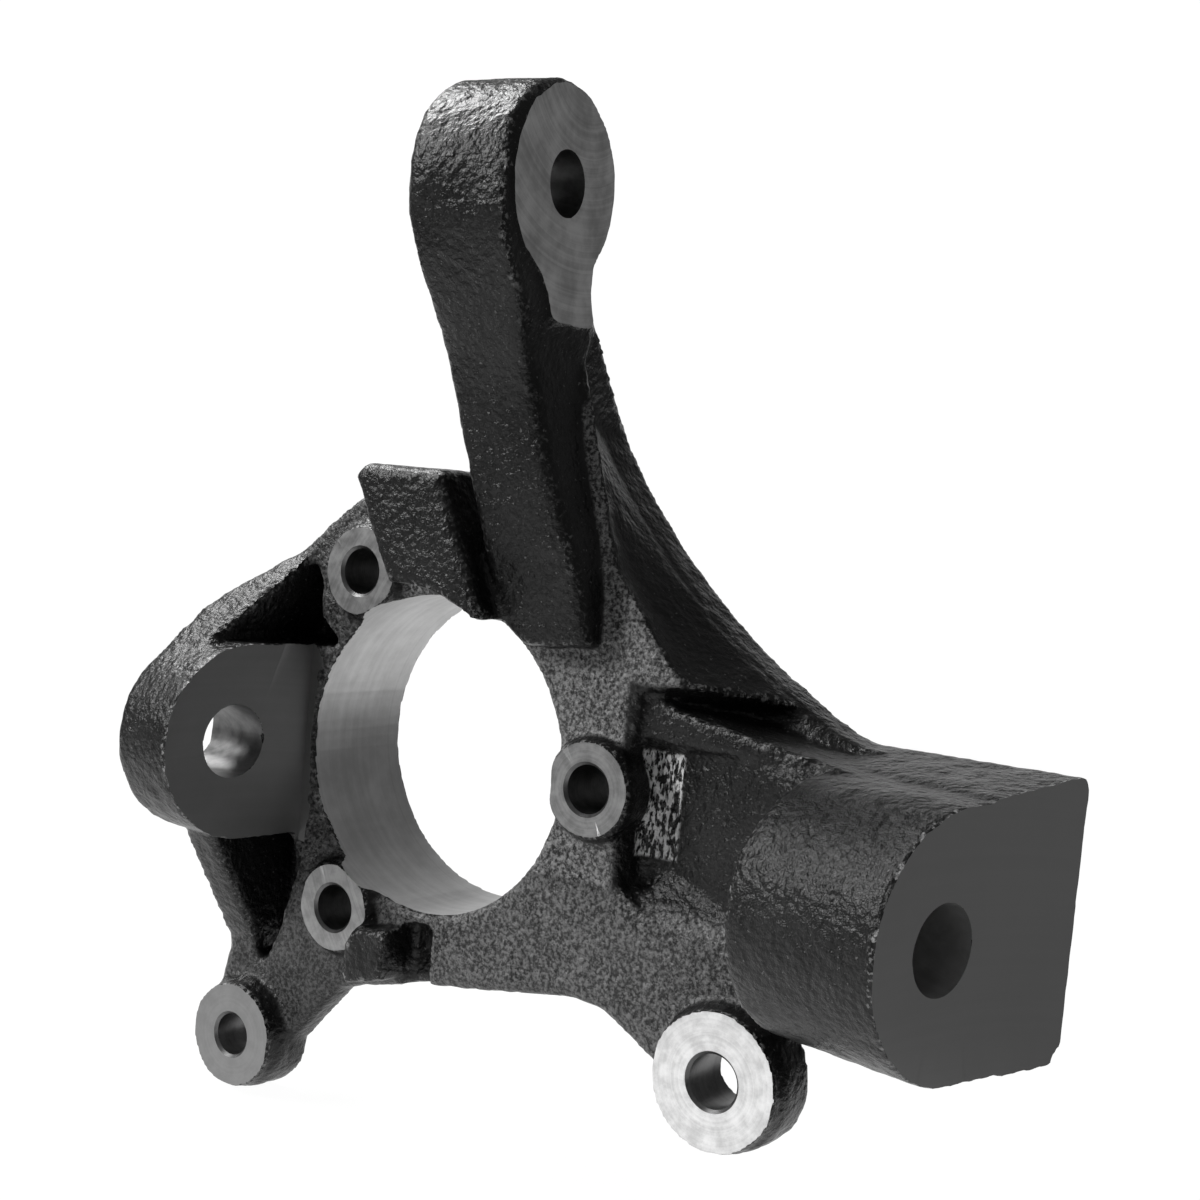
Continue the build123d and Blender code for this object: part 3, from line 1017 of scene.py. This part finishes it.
@dataclass(frozen=True)
class MachinedMetal:
    """Bare machined iron, with the marks of its cutter.

    The marks are arcs round the line centre. A far centre makes them straight.
    """

    effects: Effects
    name: str
    dark: float
    light: float
    roughness: float
    line_centre_mm: Point
    line_spacing_mm: float
    line_depth_mm: float
    blotch_mm: float
    blotch_range: tuple[float, float] = (0.3, 0.7)
    metallic: float = 0.9

    def material(self) -> bpy.types.Material:
        """Build the finish.

        Returns:
            The material.
        """
        material = bpy.data.materials.new(self.name)
        material.use_nodes = True
        shade = Shade(material.node_tree)
        shader = material.node_tree.nodes["Principled BSDF"]
        place = shade.add("TexCoord").outputs["Object"]
        back = tuple(-v * MM for v in self.line_centre_mm)
        centred = shade.add("Mapping", {"Vector": place, "Location": back}).outputs["Vector"]
        spread = {"Vector": centred, "Spacing": self.line_spacing_mm}
        lines = shade.place(self.effects.tool_lines, spread)
        blotch = shade.noise(place, self.blotch_mm, 4.0, 0.6)
        fine = shade.noise(place, 0.5, 2.0)
        sheen = shade.math("MULTIPLY", lines.outputs["Sheen"], 0.3)
        factor = shade.ramp(shade.line(blotch, 0.7, sheen), *self.blotch_range)
        height = shade.line(fine, 0.3, lines.outputs["Height"])
        depth = self.line_depth_mm * MM
        bump = shade.add("Bump", {"Height": height, "Strength": 1.0, "Distance": depth})
        shade.feed(shader, "Base Color", shade.tone(factor, self.dark, self.light))
        shade.feed(shader, "Roughness", shade.line(blotch, 0.15, self.roughness - 0.07))
        shade.feed(shader, "Normal", bump.outputs["Normal"])
        shade.feed(shader, "Metallic", self.metallic)
        return material


def build_finishes(effects: Effects) -> dict[Surface, bpy.types.Material]:
    """Make the material of every surface.

    Args:
        effects: Shared node groups.

    Returns:
        The materials by surface.
    """
    far_ahead = (0, -400, 0)
    metals = {
        Surface.BOLT_FACE: MachinedMetal(
            effects, "bolt_face", 0.22, 0.40, 0.40, (54, 0, 0), 0.7, 0.004, 4
        ),
        # Painted reflection, in part: the front ear's face gets a far lighter metal than the other
        # machined faces, standing in for its bright reflection.
        Surface.EAR_FACE: MachinedMetal(
            effects, "ear_face", 0.6, 1.0, 0.32, (99.4, -2.7, -62.5), 0.8, 0.005, 3.5
        ),
        Surface.ARM_FACE: MachinedMetal(
            effects, "arm_face", 0.46, 0.88, 0.45, (41.3, -7, 182), 0.9, 0.03, 9
        ),
        Surface.BLOCK_FACE: MachinedMetal(
            effects, "block_face", 0.43, 0.46, 0.5, (156.5, -9, -300), 2.0, 0.0, 20
        ),
        Surface.LUG_FACE: MachinedMetal(
            effects, "lug_face", 0.24, 0.27, 0.5, (-48.5, -21.3, -200), 2.0, 0.0, 15
        ),
        Surface.HUB_WALL: MachinedMetal(
            effects, "hub_wall", 0.46, 0.66, 0.5, far_ahead, 1.5, 0.001, 12
        ),
        Surface.DRILLED: MachinedMetal(
            effects, "drilled_wall", 0.1, 0.2, 0.4, far_ahead, 0.8, 0.01, 4
        ),
        Surface.REAR_EAR_FACE: MachinedMetal(
            effects, "rear_ear_face", 0.24, 0.3, 0.4, (-59.7, -2.7, -90.3), 0.8, 0.004, 4
        ),
    }
    finishes = {surface: metal.material() for surface, metal in metals.items()}
    finishes[Surface.CAST] = CastSkin(effects).material()
    return finishes


@dataclass(frozen=True)
class Lamp:
    """A square soft lamp: its place and side in metres, its power in watts."""

    name: str
    place: Point
    power: float
    side: float = 0.4


@dataclass
class Studio:
    """Camera, lights and white sweep of the photograph.

    The paper's corners are given across and away from the camera, in metres.
    """

    camera_mm: Point = (309.9, -374.0, 74.1)
    camera_right: Point = (0.8164, 0.5702, 0.0910)
    camera_up: Point = (-0.1188, 0.0116, 0.9929)
    camera_back: Point = (0.5651, -0.8214, 0.0772)
    image_px: float = 1200.0
    focal_px: float = 1831.77
    centre_px: tuple[float, float] = (595.58, 634.30)
    sensor_mm: float = 36.0
    floor_mm: float = -107.0
    paper_corners: tuple[tuple[float, float], ...] = (
        (-0.42, -0.4), (0.12, -0.4), (0.5, 0.85), (-0.55, 0.85),
    )
    paper_height: float = 0.64
    paper_grey: float = 0.45
    shadow_grey: float = 0.06
    paper_glow: float = 0.98
    room: float = 0.15
    aim: Point = (0.03, 0.0, 0.02)
    lamps: tuple[Lamp, ...] = (
        Lamp("key", (-0.75, -0.8, 0.6), 10.0), Lamp("top", (-0.6, 0.0, 0.85), 10.5),
    )

    def add_camera(self) -> None:
        """Place the camera where the photograph was taken."""
        data = bpy.data.cameras.new("camera")
        data.sensor_width = self.sensor_mm
        data.lens = self.focal_px / self.image_px * self.sensor_mm
        data.shift_x = (self.image_px / 2 - self.centre_px[0]) / self.image_px
        data.shift_y = (self.centre_px[1] - self.image_px / 2) / self.image_px
        data.clip_start = 0.01
        camera = bpy.data.objects.new("camera", data)
        turn = Matrix((self.camera_right, self.camera_up, self.camera_back)).transposed().to_4x4()
        camera.matrix_world = Matrix.Translation(Vector(self.camera_mm) * MM) @ turn
        bpy.context.collection.objects.link(camera)
        bpy.context.scene.camera = camera

    def add_lamp(self, lamp: Lamp) -> None:
        """Place a lamp that faces the part.

        Args:
            lamp: The lamp.
        """
        data = bpy.data.lights.new(lamp.name, "AREA")
        data.size = lamp.side
        data.energy = lamp.power
        light = bpy.data.objects.new(lamp.name, data)
        light.location = lamp.place
        aim = Vector(self.aim) - Vector(lamp.place)
        light.rotation_euler = aim.to_track_quat("-Z", "Y").to_euler()
        bpy.context.collection.objects.link(light)

    def white_material(self) -> bpy.types.Material:
        """Build a sweep that shows white, and keeps a soft shadow.

        Returns:
            The material.
        """
        material = bpy.data.materials.new("sweep")
        material.use_nodes = True
        tree = material.node_tree
        tree.nodes.clear()
        shade = Shade(tree)
        path = shade.add("LightPath").outputs
        mirrored = shade.math("MAXIMUM", path["Is Glossy Ray"], path["Is Transmission Ray"])
        seen = shade.math("MAXIMUM", path["Is Camera Ray"], mirrored)
        plain = shade.add("BsdfDiffuse", {"Color": (*[self.paper_grey] * 3, 1)})
        shadow = shade.add("BsdfDiffuse", {"Color": (*[self.shadow_grey] * 3, 1)})
        glow = shade.add("Emission", {"Color": (1, 1, 1, 1), "Strength": self.paper_glow})
        bright = shade.add("AddShader", {0: shadow.outputs[0], 1: glow.outputs[0]})
        mix = shade.add("MixShader", {0: seen, 1: plain.outputs[0], 2: bright.outputs[0]})
        shade.add("OutputMaterial", {"Surface": mix.outputs[0]})
        return material

    def add_sweep(self) -> None:
        """Lay a roll of white paper under the part and bend it up behind."""
        bpy.ops.mesh.primitive_circle_add(vertices=len(self.paper_corners), fill_type="NGON")
        sweep = bpy.context.active_object
        sweep.name = "sweep"
        back = Vector((-self.camera_back[0], -self.camera_back[1], 0.0)).normalized()
        side = back.cross(Vector((0.0, 0.0, 1.0)))
        floor = Vector((0.0, 0.0, self.floor_mm * MM))
        for vertex, (across, away) in zip(sweep.data.vertices, self.paper_corners):
            vertex.co = side * across + back * away + floor
        bpy.ops.object.mode_set(mode="EDIT")
        bpy.ops.mesh.select_mode(type="EDGE")
        bpy.ops.mesh.select_all(action="DESELECT")
        mesh = bmesh.from_edit_mesh(sweep.data)
        for edge in mesh.edges:
            edge.select_set(all(vertex.co.dot(back) > 0.5 for vertex in edge.verts))
        bmesh.update_edit_mesh(sweep.data)
        rise = (0, 0, self.paper_height)
        bpy.ops.mesh.extrude_region_move(TRANSFORM_OT_translate={"value": rise})
        bpy.ops.object.mode_set(mode="OBJECT")
        sweep.data.materials.append(self.white_material())

    def add_world(self) -> None:
        """Dim the room beyond the paper."""
        world = bpy.data.worlds.new("room")
        bpy.context.scene.world = world
        world.use_nodes = True
        room = world.node_tree.nodes["Background"]
        room.inputs["Color"].default_value = (1, 1, 1, 1)
        room.inputs["Strength"].default_value = self.room

    def build(self) -> None:
        """Set up the studio."""
        self.add_camera()
        self.add_sweep()
        self.add_world()
        for lamp in self.lamps:
            self.add_lamp(lamp)
        bpy.context.scene.view_settings.view_transform = "Standard"


def main() -> None:
    """Build the studio and the knuckle, and report each piece."""
    logging.basicConfig(level=logging.INFO, format="%(name)s: %(message)s")
    Studio().build()
    finishes = build_finishes(Effects())
    piece = Casting().build(finishes)
    polygons = piece.data.polygons
    triangles = sum(len(polygon.vertices) - 2 for polygon in polygons)
    LOG.info("%s: %d faces, %d triangles", piece.name, len(polygons), triangles)


if __name__ == "__main__":
    main()
